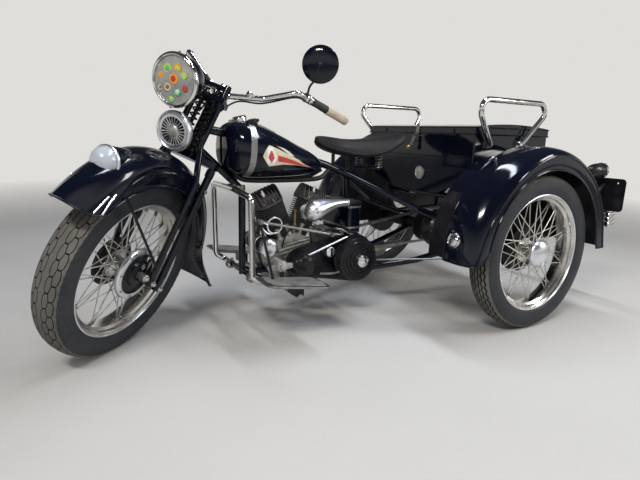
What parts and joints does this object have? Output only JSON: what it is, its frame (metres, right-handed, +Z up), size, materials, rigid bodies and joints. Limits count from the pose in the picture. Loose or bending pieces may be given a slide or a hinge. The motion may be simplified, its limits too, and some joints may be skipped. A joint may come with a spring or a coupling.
{
  "type": "utility motorcycle trike",
  "caption": "three-wheeled utility motorcycle with a sprung fork, V-twin engine, solo saddle and a steel box with a hinged lid between the rear wheels",
  "frame": {"origin": "on the floor, below the middle of the machine's length and width, with the front wheel turned to its left stop", "axes": "+X forward along the machine, +Y to its left, +Z up"},
  "size_m": [2.4138, 1.2245, 1.0996],
  "materials": {
    "black_paint": "gloss black enamel with a blue cast",
    "chrome": "bright plated steel, lightly pitted",
    "tyre": "dark grey rubber with road dust",
    "black_leather": "worn black leather",
    "ivory_grip": "aged ivory plastic",
    "crankcase_alloy": "dull cast alloy",
    "cylinder_iron": "black enamelled cast iron",
    "steel": "worn bare steel",
    "black_enamel": "satin black",
    "lamp_glass": "clear ribbed glass"
  },
  "bodies": {
    "chassis": {"frame": "black_paint", "rear_axle": "black_enamel", "fuel_tanks": "black_paint", "tank_console": "chrome", "saddle": "black_leather", "seat_post": "black_enamel", "crankcase": "crankcase_alloy", "cylinders": "cylinder_iron", "intake": "chrome", "generator": "black_enamel", "exhaust": "steel", "primary_drive": "black_enamel", "clutch": "black_enamel", "gearbox": "crankcase_alloy", "battery_box": "black_paint", "drive_chain": "steel", "footboards": "steel", "crash_bar": "chrome", "box_body": "black_paint", "box_badge": "steel", "rear_fenders": "black_paint", "grab_rails": "chrome", "tail_lamps": "black_enamel", "plate_bracket": "black_enamel", "bumper": "chrome", "fender_caps": "chrome"},
    "lid": {"box_lid": "black_paint"},
    "front_end": {"front_axle": "steel", "brake_plate": "chrome", "fork_rigid": "black_paint", "fork_spring": "black_paint", "fork_springs": "steel", "front_fender": "black_paint", "fender_lamp": "chrome", "headlamp": "chrome", "horn": "chrome", "handlebar": "chrome", "grips": "ivory_grip", "mirror": "black_paint"},
    "front_roller": {"front_tyre": "tyre", "front_wheel": "chrome"},
    "left_roller": {"rear_tyre_left": "tyre", "rear_wheel_left": "chrome"},
    "right_roller": {"rear_tyre_right": "tyre", "rear_wheel_right": "chrome"}
  },
  "joints": [
    {"name": "steering", "type": "hinge", "parent": "chassis", "child": "front_end", "pos_m": [0.88875, 0, 0.29286], "axis": [-0.4602, 0, 0.8878], "range_deg": [-86.6, 0]},
    {"name": "front_wheel_spin", "type": "hinge", "parent": "front_end", "child": "front_roller", "pos_m": [0.93915, 0.05349, 0.31899], "axis": [-0.6089, 0.7278, -0.3156], "continuous": true},
    {"name": "left_wheel_spin", "type": "hinge", "parent": "chassis", "child": "left_roller", "pos_m": [-0.596, 0.5335, 0.327], "axis": [0, 1, 0], "continuous": true},
    {"name": "right_wheel_spin", "type": "hinge", "parent": "chassis", "child": "right_roller", "pos_m": [-0.596, -0.5335, 0.327], "axis": [0, 1, 0], "continuous": true},
    {"name": "lid_hinge", "type": "hinge", "parent": "chassis", "child": "lid", "pos_m": [-0.39, 0, 0.797], "axis": [0, 1, 0], "range_deg": [0, 75]}
  ]
}
